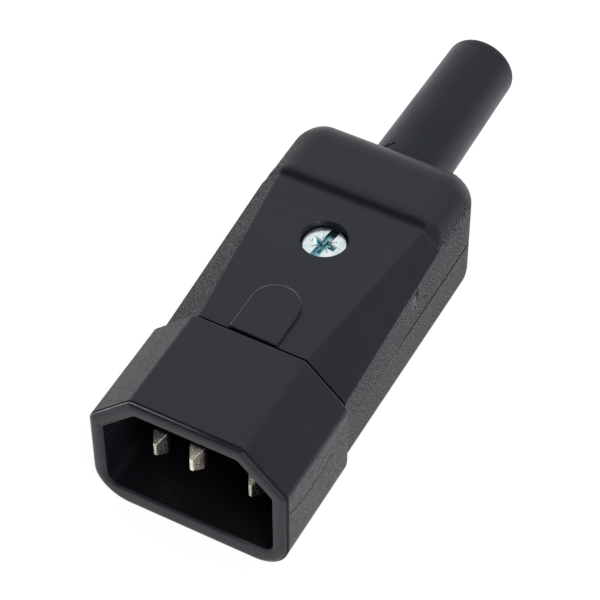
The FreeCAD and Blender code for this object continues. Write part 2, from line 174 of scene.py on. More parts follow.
world = bpy.data.worlds.new("studio_room")
world.use_nodes = True
tree = world.node_tree
tree.nodes.clear()
direction = add(tree, "ShaderNodeTexCoord", out="Generated")
height = add(tree, "ShaderNodeSeparateXYZ", {0: direction}, out="Z")
level = add(tree, "ShaderNodeMapRange", {"Value": height, "From Min": math.sin(white_below),
                                         "From Max": math.sin(dim_above), "To Min": 1.0,
                                         "To Max": room_level}, interpolation_type="SMOOTHSTEP")
room = add(tree, "ShaderNodeBackground", {"Color": linear("#ffffff"), "Strength": level})
add(tree, "ShaderNodeOutputWorld", {"Surface": room})
bpy.context.scene.world = world
bpy.context.scene.view_settings.view_transform = "Standard"


def soft_box(name, direction, distance, width, height, level, colour):
    """Rectangular lamp that faces the plug; level 1 looks as bright as white paper."""
    lamp = bpy.data.lights.new(name, "AREA")
    lamp.shape = "RECTANGLE"
    lamp.size, lamp.size_y = width, height
    lamp.energy = level * math.pi * width * height
    lamp.color = linear(colour)[:3]
    holder = bpy.data.objects.new(name, lamp)
    away = Vector(direction).normalized()
    holder.location = away * distance
    holder.rotation_euler = away.to_track_quat("Z", "Y").to_euler()
    bpy.context.collection.objects.link(holder)
    return holder


boxes = [
    soft_box("far_soft_box", (-0.05, 0.60, 0.80), 0.7, 1.6, 1.15, 0.83, "#f8fbff"),
    soft_box("front_soft_box", (-0.32, -0.36, 0.88), 0.8, 0.36, 0.36, 1.1, "#ffffff"),
    soft_box("right_soft_box", (0.70, -0.42, 0.58), 0.8, 0.30, 0.30, 8.0, "#ffffff"),
]
print("soft boxes:", {b.name: round(b.data.energy, 2) for b in boxes})

# %% [markdown]
# ## Marks on the plastic
#
# Handling has left a few scuffs and dents on the shells and a nick on the hood, and the mould has left a
# witness line along the hood's sides, where an insert met its frame. A line of the same shape along the seam
# between the shells is painted shade of their gap. An image texture could hold them. Here each is a mask
# worked out from object coordinates, so that it has a place and a size in millimetres: a scuff is a blot
# whose outline is pushed about by noise, and a line is a thin bow that fades in along the plug.

# %% Blots, a mould line and painted seam shade
def blots(tree, position, places, grain):
    """Uneven mask, 1 in the middle of each (place, radius) in millimetres, broken up by a grain."""
    wander = 1.0        # noise shifts the outline by up to a quarter of this
    noise = add(tree, "ShaderNodeTexNoise", {"Vector": position, "Scale": 1 / (0.7 * MM),
                                             "Detail": 2.0}, out="Color")
    warped = add(tree, "ShaderNodeVectorMath", {0: noise, 1: (wander * MM,) * 3, 2: position},
                 operation="MULTIPLY_ADD")
    mask = 0.0
    for place, radius in places:
        middle = [(v + wander / 2) * MM for v in place]
        away = add(tree, "ShaderNodeVectorMath", {0: warped, 1: middle}, operation="DISTANCE", out="Value")
        near = add(tree, "ShaderNodeMapRange", {"Value": away, "From Min": 0.4 * radius * MM,
                                                "From Max": radius * MM, "To Min": 1.0, "To Max": 0.0})
        mask = add(tree, "ShaderNodeMath", {0: near, 1: mask}, operation="MAXIMUM")
    return add(tree, "ShaderNodeMath", {0: mask, 1: grain}, operation="MULTIPLY")


# Used for the hood's mould line and for painted shade along the seam between the shells
def mould_line_and_seam_shade(tree, position, normal_x, middle, bend, half_width, begin, full):
    """Mask of a line on the sides, in millimetres: height bows with depth and fades in from begin to full."""
    along = add(tree, "ShaderNodeSeparateXYZ", {0: position}, out=None)
    offset = add(tree, "ShaderNodeMath", {0: along["Y"], 1: middle[0] * MM}, operation="SUBTRACT")
    bow = add(tree, "ShaderNodeMath", {0: offset, 1: 2.0}, operation="POWER")
    rise = add(tree, "ShaderNodeMath", {0: bow, 1: bend / MM, 2: middle[1] * MM}, operation="MULTIPLY_ADD")
    miss = add(tree, "ShaderNodeMath", {0: along["Z"], 1: rise}, operation="SUBTRACT")
    miss = add(tree, "ShaderNodeMath", {0: miss}, operation="ABSOLUTE")
    near = add(tree, "ShaderNodeMapRange", {"Value": miss, "From Min": 0.5 * half_width * MM,
                                            "From Max": 1.5 * half_width * MM, "To Min": 1.0,
                                            "To Max": 0.0})
    sideways = add(tree, "ShaderNodeMath", {0: normal_x}, operation="ABSOLUTE")
    side = add(tree, "ShaderNodeMath", {0: sideways, 1: 0.9}, operation="GREATER_THAN")
    shown = add(tree, "ShaderNodeMapRange", {"Value": along["Y"], "From Min": begin * MM,
                                             "From Max": full * MM})
    near = add(tree, "ShaderNodeMath", {0: near, 1: shown}, operation="MULTIPLY")
    return add(tree, "ShaderNodeMath", {0: near, 1: side}, operation="MULTIPLY")


print("marks: blots and a witness line")

# %% [markdown]
# ## Rim of the hood
#
# The hood's front rim is what gets knocked. It is worn round towards the mouth, and outwards above and at
# the right, so it shows soft bands of light. Just behind its edge lies a line of painted shadow, where the
# flash stands. The solid's mesh stays as it is, so the wear is a height for the bump. It follows the
# distance from the mouth's outline, which a few nodes work out from the mouth's sizes.

# %% Wear of the rim
mouth_half, mouth_floor, mouth_top = 12.25, 3.2, 19.4
mouth_round, mouth_chamfer = 1.6, 4.9       # lower corners and upper corners
hood_low, hood_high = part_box("front_hood")
rim_front = hood_low.y / MM
rim_fall = 0.40         # the rim's outer edge lies this far behind its crest


def mouth_distance(tree, position):
    """Distance from the outline of the hood's mouth, across the plug; negative inside it."""
    folded = add(tree, "ShaderNodeVectorMath", {0: position}, operation="ABSOLUTE")
    corner = ((mouth_round - mouth_half) * MM, 0, (mouth_floor + mouth_round) * MM)
    past = add(tree, "ShaderNodeVectorMath", {0: folded, 1: (1, 0, -1), 2: corner}, operation="MULTIPLY_ADD")
    past = add(tree, "ShaderNodeVectorMath", {0: past, 1: (0, 0, 0)}, operation="MAXIMUM")
    past = add(tree, "ShaderNodeVectorMath", {0: past}, operation="LENGTH", out="Value")
    below = add(tree, "ShaderNodeMath", {0: past, 1: mouth_round * MM}, operation="SUBTRACT")
    level = add(tree, "ShaderNodeSeparateXYZ", {0: position}, out="Z")
    above = add(tree, "ShaderNodeMath", {0: level, 1: mouth_top * MM}, operation="SUBTRACT")
    diagonal = math.sqrt(0.5)
    reach = (mouth_half + mouth_top - mouth_chamfer) * diagonal * MM
    slant = add(tree, "ShaderNodeVectorMath", {0: folded, 1: (diagonal, 0, diagonal)},
                operation="DOT_PRODUCT", out="Value")
    slant = add(tree, "ShaderNodeMath", {0: slant, 1: reach}, operation="SUBTRACT")
    distance = add(tree, "ShaderNodeMath", {0: below, 1: above}, operation="MAXIMUM")
    return add(tree, "ShaderNodeMath", {0: distance, 1: slant}, operation="MAXIMUM")


def rounded_rim(tree, position, normal_y, distance):
    """Height of the rim's front in bump units: worn round at its mouth, or at its outer edge."""
    inner = add(tree, "ShaderNodeMapRange", {"Value": distance, "From Max": 0.9 * MM, "To Min": 1.0,
                                             "To Max": 0.0})
    inner = add(tree, "ShaderNodeMath", {0: inner, 1: 2.0}, operation="POWER")
    depth = add(tree, "ShaderNodeSeparateXYZ", {0: position}, out="Y")
    outer = add(tree, "ShaderNodeMapRange", {"Value": depth, "From Min": rim_front * MM,
                                             "From Max": (rim_front + rim_fall) * MM})
    outer = add(tree, "ShaderNodeMath", {0: outer, 1: 2.0}, operation="POWER")
    # From the lower left, where the mouth is worn most, to the upper right, where the outside is
    across = add(tree, "ShaderNodeVectorMath", {0: position, 1: (1, 0, 1)},
                 operation="DOT_PRODUCT", out="Value")
    mouth_wear = add(tree, "ShaderNodeMapRange", {"Value": across, "From Min": 8 * MM, "From Max": 12 * MM,
                                                  "To Min": -5.0, "To Max": -0.5})
    outside_wear = add(tree, "ShaderNodeMapRange", {"Value": across, "From Min": 8 * MM, "From Max": 12 * MM,
                                                    "To Min": 2.0, "To Max": -3.0})
    height = add(tree, "ShaderNodeMath", {0: outer, 1: outside_wear}, operation="MULTIPLY")
    height = add(tree, "ShaderNodeMath", {0: inner, 1: mouth_wear, 2: height}, operation="MULTIPLY_ADD")
    forward = add(tree, "ShaderNodeMath", {0: normal_y, 1: -0.8}, operation="LESS_THAN")
    return add(tree, "ShaderNodeMath", {0: forward, 1: height}, operation="MULTIPLY")


def painted_shadow_behind_rim(tree, position, normal_y, outside):
    """Mask of the painted shadow round the hood's outside, just behind the rim's edge where the flash stands.
    """
    depth = add(tree, "ShaderNodeSeparateXYZ", {0: position}, out="Y")
    behind = add(tree, "ShaderNodeMapRange", {"Value": depth, "From Min": (rim_front + 0.575) * MM,
                                              "From Max": (rim_front + 0.725) * MM, "To Min": 0.8,
                                              "To Max": 0.0})
    outwards = add(tree, "ShaderNodeMath", {0: normal_y, 1: -0.5}, operation="GREATER_THAN")
    outwards = add(tree, "ShaderNodeMath", {0: outwards, 1: outside}, operation="MULTIPLY")
    return add(tree, "ShaderNodeMath", {0: behind, 1: outwards}, operation="MULTIPLY")


print("rim: crest at", round(rim_front, 3), "mm, outer edge", rim_fall, "mm behind it")

# %% [markdown]
# ## Moulded black plastic
#
# Hood and shells are black polyamide from a steel mould. The mould's sides were spark-eroded, which leaves
# a fine pebble grain, and its top was blasted finer, which leaves a satin skin. The grain is noise on
# object coordinates, so it has a real size and no seams, and the surface direction decides how strong it
# is. On black, a change of colour alone hardly shows, so grain and marks also change the roughness and the
# bump. The pebbles' crests are painted a lighter grey, as highlights. A strip of painted shade darkens the
# sharp inner corner at the brow's foot, which mirrors only itself.

# %% Moulded plastic
# Lighter grey painted on pebble crests as highlights, pale grey for scuffs, black for dents, pits and painted
# shade
crest_highlight_grey, scuff_grey, dent_and_shade_black = "#44454a", "#85868a", "#020203"


def eroded_sides(tree, facing, grain):
    """Strength of the pebble grain by surface direction: for gloss and colour, and for the bump."""
    sideways = add(tree, "ShaderNodeMath", {0: facing["X"]}, operation="ABSOLUTE")
    eroded = add(tree, "ShaderNodeMapRange", {"Value": sideways, "From Min": 0.80, "From Max": 0.95})
    # The left half of the mould was eroded up to its facets
    left = add(tree, "ShaderNodeMapRange", {"Value": facing["X"], "From Min": -0.5, "From Max": -0.7,
                                            "To Min": 0.0, "To Max": 0.75})
    eroded = add(tree, "ShaderNodeMath", {0: eroded, 1: left}, operation="MAXIMUM")
    eroded = add(tree, "ShaderNodeMath", {0: eroded, 1: grain}, operation="MULTIPLY")
    grained = add(tree, "ShaderNodeMapRange", {"Value": sideways, "From Min": 0.65, "From Max": 0.95,
                                               "To Min": 0.14, "To Max": grain})
    return eroded, grained


def corner_shade_strip(tree, position, normal_z, foot):
    """Mask of a strip of painted shade across the top, at a place along the plug in millimetres."""
    depth = add(tree, "ShaderNodeSeparateXYZ", {0: position}, out="Y")
    miss = add(tree, "ShaderNodeMath", {0: depth, 1: foot * MM}, operation="SUBTRACT")
    miss = add(tree, "ShaderNodeMath", {0: miss}, operation="ABSOLUTE")
    near = add(tree, "ShaderNodeMapRange", {"Value": miss, "From Max": 0.85 * MM, "To Min": 1.0,
                                            "To Max": 0.0})
    upwards = add(tree, "ShaderNodeMapRange", {"Value": normal_z, "From Min": 0.75, "From Max": 0.9})
    return add(tree, "ShaderNodeMath", {0: near, 1: upwards}, operation="MULTIPLY")


def moulded_plastic(name, colour, grain, scuffs=(), dents=(), line=None, rim=False, corner=None):
    """Black polyamide: satin above, pebbled at the sides, with marks and perhaps a rim or a corner of painted
    shade.
    """
    material = new_material(name)
    tree = material.node_tree
    place = add(tree, "ShaderNodeTexCoord", out=None)
    position = place["Object"]
    facing = add(tree, "ShaderNodeSeparateXYZ", {0: place["Normal"]}, out=None)
    eroded, grained = eroded_sides(tree, facing, grain)
    # Real pebbles are about 0.1 mm; they are drawn at 0.2 mm so that they show
    pebbles = add(tree, "ShaderNodeTexNoise", {"Vector": position, "Scale": 1 / (0.20 * MM), "Detail": 2.0,
                                               "Roughness": 0.6})
    height = add(tree, "ShaderNodeMath", {0: pebbles, 1: grained}, operation="MULTIPLY")
    rubbed = blots(tree, position, scuffs, pebbles)
    dark = blots(tree, position, dents, 1.0)
    if line:
        # The hood's mould line, and on the shells painted shade along their seam
        seam = mould_line_and_seam_shade(tree, position, facing["X"], *line)
        dark = add(tree, "ShaderNodeMath", {0: dark, 1: seam}, operation="MAXIMUM")
    if rim:
        # Only the outside was eroded, not the core that formed the mouth
        distance = mouth_distance(tree, position)
        outside = add(tree, "ShaderNodeMath", {0: distance, 1: 1.0 * MM}, operation="GREATER_THAN")
        eroded = add(tree, "ShaderNodeMath", {0: eroded, 1: outside}, operation="MULTIPLY")
        # Painted shadow of the flash, just behind the rim's edge
        flash_shadow_line = painted_shadow_behind_rim(tree, position, facing["Y"], outside)
        dark = add(tree, "ShaderNodeMath", {0: dark, 1: flash_shadow_line}, operation="ADD")
        worn = rounded_rim(tree, position, facing["Y"], distance)
        height = add(tree, "ShaderNodeMath", {0: height, 1: worn}, operation="ADD")

    clouds = add(tree, "ShaderNodeTexNoise", {"Vector": position, "Scale": 1 / (6 * MM), "Detail": 2.0})
    gloss = add(tree, "ShaderNodeMapRange", {"Value": clouds, "From Min": 0.3, "From Max": 0.7,
                                             "To Min": 0.39, "To Max": 0.44})
    pitted = add(tree, "ShaderNodeMapRange", {"Value": pebbles, "From Min": 0.38, "From Max": 0.60,
                                              "To Min": 0.70, "To Max": -0.10})
    gloss = add(tree, "ShaderNodeMath", {0: pitted, 1: eroded, 2: gloss}, operation="MULTIPLY_ADD")
    # Faces to the front are duller
    front = add(tree, "ShaderNodeMapRange", {"Value": facing["Y"], "From Min": -0.85, "From Max": -0.97,
                                             "To Min": 0.0, "To Max": 0.12})
    gloss = add(tree, "ShaderNodeMath", {0: gloss, 1: front}, operation="ADD")
    # The pebbles' crests are painted a lighter grey, as highlights
    crests = add(tree, "ShaderNodeMapRange", {"Value": pebbles, "From Min": 0.50, "From Max": 0.70})
    crest_glints = add(tree, "ShaderNodeMath", {0: crests, 1: eroded}, operation="MULTIPLY")

    # A Mix node has sockets for every kind of data: 6, 7 and the output 2 are its colours
    shade = linear(colour)
    for mask, tone in ((crest_glints, crest_highlight_grey), (rubbed, scuff_grey), (dark, dent_and_shade_black)):
        shade = add(tree, "ShaderNodeMix", {0: mask, 6: shade, 7: linear(tone)}, data_type="RGBA", out=2)
    gloss = add(tree, "ShaderNodeMath", {0: dark, 1: 0.6, 2: gloss}, operation="MULTIPLY_ADD")
    height = add(tree, "ShaderNodeMath", {0: dark, 1: -4.0, 2: height}, operation="MULTIPLY_ADD")
    if corner:
        # Painted shade in the sharp inner corner at the brow's foot
        near = corner_shade_strip(tree, position, facing["Z"], corner)
        shade = add(tree, "ShaderNodeMix", {0: near, 6: shade, 7: linear(dent_and_shade_black)},
                    data_type="RGBA", out=2)
        gloss = add(tree, "ShaderNodeMath", {0: near, 1: 0.6, 2: gloss}, operation="MULTIPLY_ADD")
    bump = add(tree, "ShaderNodeBump", {"Height": height, "Strength": 1.0, "Distance": 0.10 * MM})
    skin = add(tree, "ShaderNodeBsdfPrincipled", {"Base Color": shade, "Roughness": gloss, "IOR": 1.50,
                                                  "Specular Tint": linear("#f2f5ff"), "Normal": bump})
    add(tree, "ShaderNodeOutputMaterial", {"Surface": skin})
    return material


print("plastic: crests", crest_highlight_grey, "scuffs", scuff_grey, "dents", dent_and_shade_black)

# %% [markdown]
# ## Plastic on the solids
#
# All four mouldings are the same plastic from different moulds, so they differ in grain and marks. One
# material with masks for each piece would do, but separate ones keep each piece's marks off the others.
# A solid keeps its mesh, and only its material slot is filled.

# %% Plastic on the solids
def coat(material, *names):
    """Gives solids of the plug a material."""
    for name in names:
        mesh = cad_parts[name].data
        mesh.materials.clear()
        mesh.materials.append(material)


side_scuffs = [((13.4, -5.9, 15.6), 0.8), ((13.4, -3.4, 13.6), 0.6), ((13.4, -5.82, 14.13), 0.7)]
side_dents = [((13.4, -5.65, 16.6), 0.40), ((13.4, -5.45, 16.0), 0.42), ((13.4, -5.3, 15.4), 0.38),
              ((13.4, -5.8, 13.9), 0.32), ((13.4, -3.7, 13.8), 0.38), ((13.4, -3.1, 13.2), 0.38),
              ((13.4, -2.5, 12.8), 0.32)]
rim_nick = [((-10.6, -42.3, 19.1), 0.35)]
# Depth and height of the middle, bend, half width, and where the line begins and is full
hood_line = ((-35.8, 10.7), 0.03, 0.09, -30.5, -34.0)
# Painted shade of the gap along the seam between the shells
seam_shade_line = ((0.0, 10.45), 0.0, 0.15, -10.5, -7.0)
brow_foot = 1.98

# Satin black with a fine grain on its sides, a worn rim and a painted shadow behind the rim's edge
hood_plastic = moulded_plastic("moulded_polyamide_hood", "#131419", 0.32, scuffs=rim_nick, line=hood_line,
                               rim=True)
# Satin black with pebbled sides whose crests carry painted highlights in grey, and painted shade along the
# seam and at the brow's foot
shell_plastic = moulded_plastic("moulded_polyamide_cover", "#131419", 1.0, scuffs=side_scuffs,
                                dents=side_dents, line=seam_shade_line, corner=brow_foot)
# The same, a little less pebbled
base_plastic = moulded_plastic("moulded_polyamide_base", "#131419", 0.7, line=seam_shade_line)
# A slightly greyer black
clamp_plastic = moulded_plastic("moulded_polyamide_clamp", "#1d1d20", 0.5)
coat(hood_plastic, "front_hood")
coat(shell_plastic, "upper_cover")
coat(base_plastic, "lower_base")
coat(clamp_plastic, "cord_clamp")
print("moulded:", hood_plastic.name, shell_plastic.name, base_plastic.name, clamp_plastic.name)

# %% [markdown]
# ## Rubber sleeve
#
# The sleeve is moulded rubber. Old rubber carries a faint bloom of dust and wax that catches light at
# its edges. A sheen layer gives that in one socket; a coat of grey noise would not follow the edges.
# Two small pits from bubbles lie near its root, and grains of dust have settled here and there.

# %% Rubber
sleeve_pits = [((-2.45, 17.2, 16.05), 0.7), ((-2.0, 17.75, 16.2), 0.45)]
rubber_cool = linear("#e6ecff")

# Soft black with a pale fringe along its outline
rubber = new_material("moulded_rubber")
tree = rubber.node_tree
position = add(tree, "ShaderNodeTexCoord", out="Object")
skin_noise = add(tree, "ShaderNodeTexNoise", {"Vector": position, "Scale": 1 / (0.35 * MM), "Detail": 3.0})
smears = add(tree, "ShaderNodeTexNoise", {"Vector": position, "Scale": 1 / (5 * MM), "Detail": 3.0})
gloss = add(tree, "ShaderNodeMapRange", {"Value": smears, "From Min": 0.3, "From Max": 0.7, "To Min": 0.40,
                                         "To Max": 0.48})
pits = blots(tree, position, sleeve_pits, 1.0)
height = add(tree, "ShaderNodeMath", {0: pits, 1: -45.0, 2: skin_noise}, operation="MULTIPLY_ADD")
gloss = add(tree, "ShaderNodeMath", {0: pits, 1: 0.5, 2: gloss}, operation="MULTIPLY_ADD")
bump = add(tree, "ShaderNodeBump", {"Height": height, "Strength": 1.0, "Distance": 0.012 * MM})
dust = add(tree, "ShaderNodeMapRange", {"Value": skin_noise, "From Min": 0.71, "From Max": 0.80})
shade = linear("#101217")
for mask, tone in ((dust, "#66686e"), (pits, dent_and_shade_black)):
    shade = add(tree, "ShaderNodeMix", {0: mask, 6: shade, 7: linear(tone)}, data_type="RGBA", out=2)
skin = add(tree, "ShaderNodeBsdfPrincipled", {"Base Color": shade, "Roughness": gloss, "IOR": 1.42,
                                              "Normal": bump, "Specular Tint": rubber_cool,
                                              "Sheen Weight": 0.22, "Sheen Roughness": 0.4,
                                              "Sheen Tint": rubber_cool})
add(tree, "ShaderNodeOutputMaterial", {"Surface": skin})
coat(rubber, "cable_sleeve")
print("rubber:", rubber.name, "with", len(sleeve_pits), "pits")

# %% [markdown]
# ## Nickel, zinc and brass
#
# The pins are brass with a nickel plate, stamped from strip: warm grey, with fine marks along the strip.
# The screws are steel with bright zinc, a bluish white with cloudy patches from the bath. The terminals
# are turned and milled brass. All three are metals whose look lies in how rough they are and where, so one
# function makes them from two tints, a roughness range and the size and stretch of the marks.

# %% Plated and bare metals
def worked_metal(name, tint, patch_tint, rough, mark_size, stretch, mark_depth, change=None):
    """Metal with patches and drawn-out marks, in millimetres, that may change its tint along an axis."""
    material = new_material(name)
    tree = material.node_tree
    position = add(tree, "ShaderNodeTexCoord", out="Object")
    drawn = add(tree, "ShaderNodeMapping", {"Vector": position, "Scale": (1, 1 / stretch, 1)})
    marks = add(tree, "ShaderNodeTexNoise", {"Vector": drawn, "Scale": 1 / (mark_size * MM), "Detail": 4.0,
                                             "Roughness": 0.6})
    patches = add(tree, "ShaderNodeTexNoise", {"Vector": position, "Scale": 1 / (0.9 * MM), "Detail": 2.0})
    cloud = add(tree, "ShaderNodeMapRange", {"Value": patches, "From Min": 0.35, "From Max": 0.65})
    shade = add(tree, "ShaderNodeMix", {0: cloud, 6: linear(tint), 7: linear(patch_tint)},
                data_type="RGBA", out=2)
    gloss = add(tree, "ShaderNodeMapRange", {"Value": marks, "From Min": 0.3, "From Max": 0.7,
                                             "To Min": rough[0], "To Max": rough[1]})
    # A tint along an axis: on the pins painted shade behind their tips, on the cover screw the blue in its
    # recess
    if change:
        axis, begin, full, other = change
        along = add(tree, "ShaderNodeSeparateXYZ", {0: position}, out=axis)
        beyond = add(tree, "ShaderNodeMapRange", {"Value": along, "From Min": begin * MM,
                                                  "From Max": full * MM})
        shade = add(tree, "ShaderNodeMix", {0: beyond, 6: shade, 7: linear(other)}, data_type="RGBA", out=2)
    bump = add(tree, "ShaderNodeBump", {"Height": marks, "Strength": 1.0, "Distance": mark_depth * MM})
    skin = add(tree, "ShaderNodeBsdfPrincipled", {"Base Color": shade, "Metallic": 1.0, "Roughness": gloss,
                                                  "Normal": bump})
    add(tree, "ShaderNodeOutputMaterial", {"Surface": skin})
    return material


# Warm grey that glints at its worn tips; behind them it turns a dull brown, which is painted shade inside
# the hood. The earth pin's tip lies further forward
nickel_marks = ("#f7f1e4", "#ded5c4", (0.14, 0.50), 0.22, 1.5, 0.05)
nickel = worked_metal("nickel_plated_brass", *nickel_marks, ("Y", -38.5, -36.6, "#2c2822"))
earth_nickel = worked_metal("nickel_plated_brass_earth", *nickel_marks, ("Y", -41.0, -39.1, "#2c2822"))
# Cool white, nearly a mirror, with cloudy patches
zinc_marks = ("#fbfdf8", "#dcebea", (0.17, 0.30), 0.25, 1.0, 0.012)
zinc = worked_metal("bright_zinc_plate", *zinc_marks)
# The same on the cover screw, with blue in its recess, where the passivation pooled
blue_zinc = worked_metal("blue_passivated_zinc_plate", *zinc_marks, ("Z", 19.62, 19.1, "#94bec6"))
# Yellow with fine tool marks
brass = worked_metal("machined_brass", "#d3ac62", "#b98f47", (0.26, 0.40), 0.12, 6.0, 0.010)
coat(brass, "line_terminal", "neutral_terminal", "earth_terminal", "cover_screw_insert")
print("metals:", nickel.name, earth_nickel.name, zinc.name, blue_zinc.name, brass.name)

# %% [markdown]
# ## Contact pins
#
# The pins are stamped strip: flat sides, a short taper at the tip, and edges that the press broke slightly.
# Those broken edges are what glints in the dark hood. The solids have the right shape but razor edges, so
# a copy of each is merged into clean faces and gets a small bevel.

# %% Contact pins
broken_edge = 0.13 * MM

for piece, names, plating in (("outer_contact_pins", ["line_pin", "neutral_pin"], nickel),
                              ("earth_contact_pin", ["earth_pin"], earth_nickel)):
    shape = bmesh.new()
    for name in names:
        shape.from_mesh(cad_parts[name].data)
    bmesh.ops.remove_doubles(shape, verts=shape.verts, dist=0.001 * MM)
    bmesh.ops.dissolve_limit(shape, angle_limit=math.radians(1), verts=shape.verts, edges=shape.edges)
    bmesh.ops.bevel(shape, geom=shape.edges[:], offset=broken_edge, segments=2, profile=0.6, affect="EDGES")
    bmesh.ops.recalc_face_normals(shape, faces=shape.faces)
    pin_mesh = bpy.data.meshes.new(piece)
    shape.to_mesh(pin_mesh)
    shape.free()
    pin_mesh.materials.append(plating)
    pins = bpy.data.objects.new(piece, pin_mesh)
    bpy.context.collection.objects.link(pins)
    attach(pins, "root")
    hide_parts(*names)
    print(piece + ":", len(pin_mesh.polygons), "faces")

# %% [markdown]
# ## Screw heads
#
# A screw head is turned on a lathe and its recess is pressed in. So the head here is a profile spun round
# its axis, and the recess is cut out with a Boolean modifier by bars that narrow towards their bottom.
# Pulling the recess's faces by hand would give a cleaner grid, but this says in a few numbers what the
# punch looks like. A narrow bevel breaks the edges, as plating does.

# %% Lathe and punch
plated_edge = 0.05      # bevel on the edges of a plated head
punch_spare = 0.3       # how far a cutter stands above the head


def lathe(profile, segments=72):
    """Closed mesh in millimetres, spun from (radius, height) points that start and end on the axis."""
    shape = bmesh.new()
    angles = [2 * math.pi * i / segments for i in range(segments)]
    rings = []
    for radius, height in profile:
        rings.append([shape.verts.new((radius * math.cos(angle), radius * math.sin(angle), height))
                      for angle in (angles if radius else angles[:1])])
    for low, high in zip(rings, rings[1:]):
        for i in range(segments):
            j = (i + 1) % segments
            corners = [low[i % len(low)], low[j % len(low)], high[j % len(high)], high[i % len(high)]]
            shape.faces.new(list(dict.fromkeys(corners)))
    bmesh.ops.recalc_face_normals(shape, faces=shape.faces)
    mesh = bpy.data.meshes.new("turned")
    shape.to_mesh(mesh)
    shape.free()
    return mesh


def punch(start, end, width, top, depth, narrowing, turn):
    """Cutter from start to end along a line through the axis, narrower by a share at its bottom."""
    shape = bmesh.new()
    middle, half = (start + end) / 2, (end - start) / 2
    layers = []
    for height, share in ((top + punch_spare, 1.0), (top, 1.0), (top - depth, 1.0 - narrowing)):
        layers.append([shape.verts.new((middle + i * half * share, j * width / 2 * share, height))
                       for i, j in ((-1, -1), (1, -1), (1, 1), (-1, 1))])
    shape.faces.new(layers[0])
    shape.faces.new(layers[-1])
    for upper, lower in zip(layers, layers[1:]):
        for i in range(4):
            shape.faces.new((upper[i], upper[(i + 1) % 4], lower[(i + 1) % 4], lower[i]))
    bmesh.ops.rotate(shape, verts=shape.verts, matrix=Matrix.Rotation(turn, 3, "Z"))
    bmesh.ops.recalc_face_normals(shape, faces=shape.faces)
    mesh = bpy.data.meshes.new("punch")
    shape.to_mesh(mesh)
    shape.free()
    return bpy.data.objects.new("punch", mesh)


def pressed_head(name, profile, punches):
    """Turned head with its recesses cut and its edges broken, in metres, with its seat at height zero."""
    head = bpy.data.objects.new(name, lathe(profile))
    for holder in [head] + punches:
        bpy.context.collection.objects.link(holder)
    for cutter in punches:
        head.modifiers.new("recess", "BOOLEAN").object = cutter
    breaking = head.modifiers.new("broken_edges", "BEVEL")
    breaking.width, breaking.segments = plated_edge, 2
    breaking.limit_method, breaking.angle_limit = "ANGLE", math.radians(40)
    mesh = bpy.data.meshes.new_from_object(head.evaluated_get(bpy.context.evaluated_depsgraph_get()))
    mesh.transform(Matrix.Scale(MM, 4))
    mesh.shade_smooth()
    mesh.set_sharp_from_angle(angle=math.radians(30))
    for holder in [head] + punches:
        bpy.data.objects.remove(holder)
    finished = bpy.data.objects.new(name, mesh)
    bpy.context.collection.objects.link(finished)
    return finished


print("lathe profile of a plain disc:", len(lathe([(0, 0), (3, 0), (3, 1), (0, 1)]).polygons), "faces")

# %% [markdown]
# ## Cover screw head
#
# The cover screw has a flat pan head with a rounded edge. A slot runs right across it, and a cross recess
# with four short grooves between its arms lies over the slot, so that two kinds of driver fit. Each of
# them is one more bar for the punch, turned to its place.

# %% Cover screw head
screw_low, screw_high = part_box("cover_screw")
cover_radius = (screw_high[0] - screw_low[0]) / 2 / MM
cover_height, edge_round = 2.0, 0.3
slot_width, slot_depth, slot_turn = 1.25, 0.75, math.radians(84)
slot_reach = cover_radius + 1       # past the edge at both ends
cross_reach, cross_width, cross_depth = 1.75, 0.95, 1.3
groove_start, groove_end, groove_width, groove_depth = 0.6, 1.7, 0.22, 0.25

cover_profile = [(0, 0), (cover_radius, 0)]
for angle in range(0, 91, 15):
    turn = math.radians(angle)
    cover_profile.append((cover_radius - edge_round * (1 - math.cos(turn)),
                          cover_height - edge_round * (1 - math.sin(turn))))
cover_profile.append((0, cover_height))
cover_punches = [punch(-slot_reach, slot_reach, slot_width, cover_height, slot_depth, 0.08, slot_turn)]
for turn in (slot_turn, slot_turn + math.pi / 2):
    cover_punches.append(punch(-cross_reach, cross_reach, cross_width, cover_height, cross_depth, 0.45, turn))
for k in range(4):
    turn = slot_turn + math.pi / 4 + k * math.pi / 2
    cover_punches.append(punch(groove_start, groove_end, groove_width, cover_height, groove_depth, 0.3, turn))
cover_head = pressed_head("cover_head", cover_profile, cover_punches)
print("cover screw head:", round(2 * cover_radius, 2), "mm wide,", len(cover_head.data.polygons), "faces")

# %% [markdown]
# ## Threaded screws
#
# A thread is one groove that climbs round a shank. The Screw modifier could sweep it, but then each size
# needs its own profile. In this Geometry Nodes tree a flat grid is rolled up: its width becomes the angle,
# its height stays the height, and the radius follows a zigzag of height over pitch less the share of the
# turn, which is exactly a thread. The rows at both ends have radius zero, which closes the shank. The tree
# then sets the head on it and places a copy at every point of the mesh that carries it.

